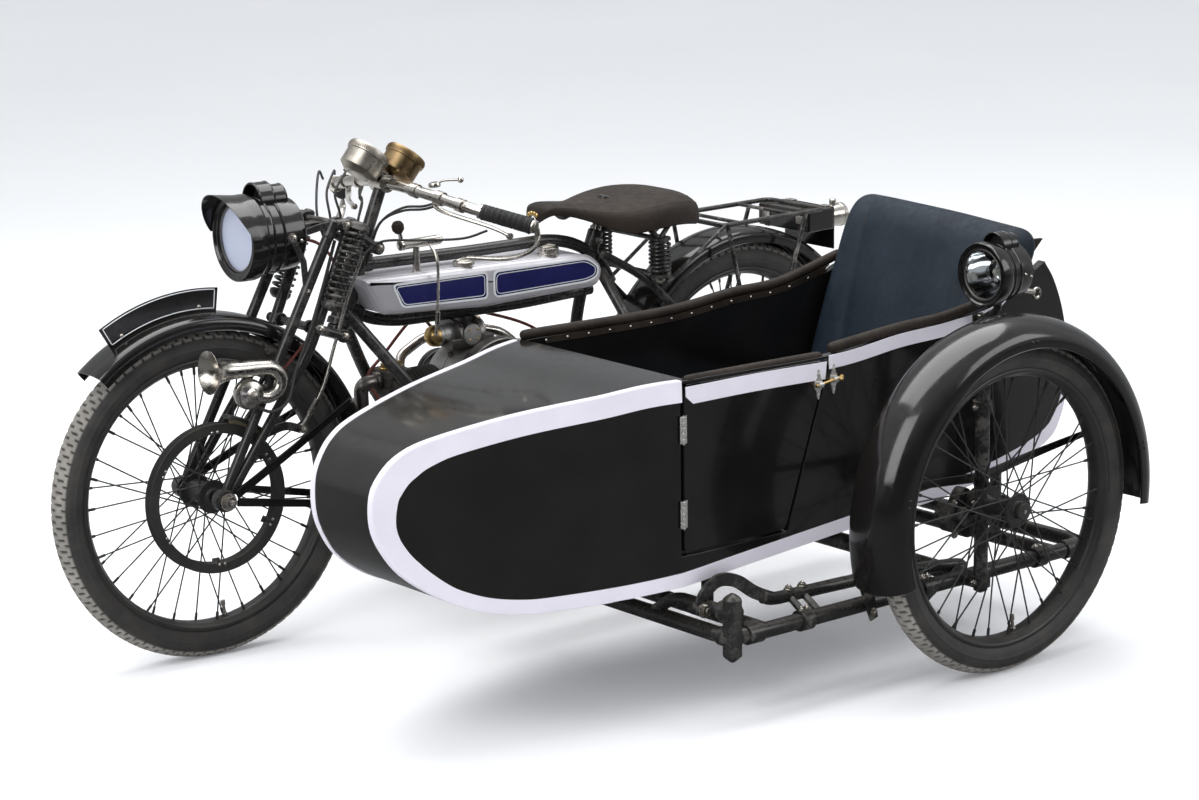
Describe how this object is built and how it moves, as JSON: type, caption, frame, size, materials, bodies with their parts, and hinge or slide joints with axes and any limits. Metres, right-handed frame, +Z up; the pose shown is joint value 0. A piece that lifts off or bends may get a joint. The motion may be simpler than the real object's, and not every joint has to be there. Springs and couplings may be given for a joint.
{
  "type": "sidecar motorcycle",
  "caption": "Early motorcycle with girder fork, wire wheels and belt drive, and a coachbuilt sidecar on its left; wheels, steering, sidecar door and rear stand move.",
  "frame": {"origin": "on the ground, at the middle of the box round the whole outfit", "axes": "+X forward, +Y to the left, where the sidecar is, +Z up"},
  "size_m": [2.0917, 1.5671, 0.9954],
  "materials": {
    "black_enamel": "gloss",
    "silver_enamel": "satin",
    "nickel": "aged bright nickel",
    "brass": "satin",
    "cast_iron": "matt",
    "aluminium": "dull",
    "steel": "dull",
    "tyre_rubber": "matt",
    "grip_rubber": "matt",
    "belt": "matt",
    "brown_leather": "worn",
    "blue_leather": "satin",
    "glass": "clear"
  },
  "bodies": {
    "outfit": {"carburettor": "brass", "chain_case": "black_enamel", "coaming_far": "brown_leather", "coaming_near": "brown_leather", "crankcase": "aluminium", "drive_belt": "belt", "exhaust": "steel", "flywheel": "steel", "footboards": "aluminium", "frame": "black_enamel", "front_cylinder": "cast_iron", "fuel_tank": "silver_enamel", "gearbox": "aluminium", "magneto": "brass", "oil_pump": "nickel", "rear_carrier": "black_enamel", "rear_cylinder": "cast_iron", "rear_lamp": "nickel", "rear_mudguard": "black_enamel", "rear_plate": "black_enamel", "saddle": "brown_leather", "saddle_springs": "nickel", "seat_cushion": "blue_leather", "seat_squab": "blue_leather", "side_lamp": "black_enamel", "side_lamp_glass": "glass", "sidecar_body": "black_enamel", "sidecar_chassis": "black_enamel", "sidecar_mudguard": "black_enamel", "tool_box": "black_enamel"},
    "steering": {"charge_instrument": "brass", "front_mudguard": "black_enamel", "front_plate": "black_enamel", "girder_fork": "black_enamel", "handlebar": "nickel", "headlamp": "black_enamel", "headlamp_glass": "glass", "horn": "nickel", "left_fork_spring": "nickel", "left_grip": "grip_rubber", "right_fork_spring": "nickel", "right_grip": "grip_rubber", "speed_instrument": "nickel"},
    "front_wheel": {"front_wheel_rim": "black_enamel", "front_wheel_tyre": "tyre_rubber"},
    "rear_wheel": {"rear_wheel_rim": "black_enamel", "rear_wheel_tyre": "tyre_rubber"},
    "sidecar_wheel": {"sidecar_wheel_rim": "black_enamel", "sidecar_wheel_tyre": "tyre_rubber"},
    "rear_stand": {"rear_stand_legs": "black_enamel"},
    "door": {"door_latch": "nickel", "sidecar_door": "black_enamel"}
  },
  "joints": [
    {"name": "steering_turn", "type": "hinge", "parent": "outfit", "child": "steering", "pos_m": [0.38883, -0.40591, 0.63604], "axis": [-0.3907, 0, 0.9205], "range_deg": [-29.7, 40.3]},
    {"name": "front_wheel_turn", "type": "hinge", "parent": "steering", "child": "front_wheel", "pos_m": [0.72004, -0.42309, 0.32969], "axis": [0.085, 0.9957, 0.0361], "continuous": true},
    {"name": "rear_wheel_turn", "type": "hinge", "parent": "outfit", "child": "rear_wheel", "pos_m": [-0.67923, -0.40591, 0.33], "axis": [0, 1, 0], "continuous": true},
    {"name": "sidecar_wheel_turn", "type": "hinge", "parent": "outfit", "child": "sidecar_wheel", "pos_m": [-0.37221, 0.71909, 0.33], "axis": [0, 1, 0], "continuous": true},
    {"name": "rear_stand_fold", "type": "hinge", "parent": "outfit", "child": "rear_stand", "pos_m": [-0.69127, -0.40591, 0.29206], "axis": [0, -1, 0], "range_deg": [0, 57.5]},
    {"name": "door_swing", "type": "hinge", "parent": "outfit", "child": "door", "pos_m": [0.28227, 0.53059, 0.49502], "axis": [0, 0, -1], "range_deg": [0, 75]}
  ]
}
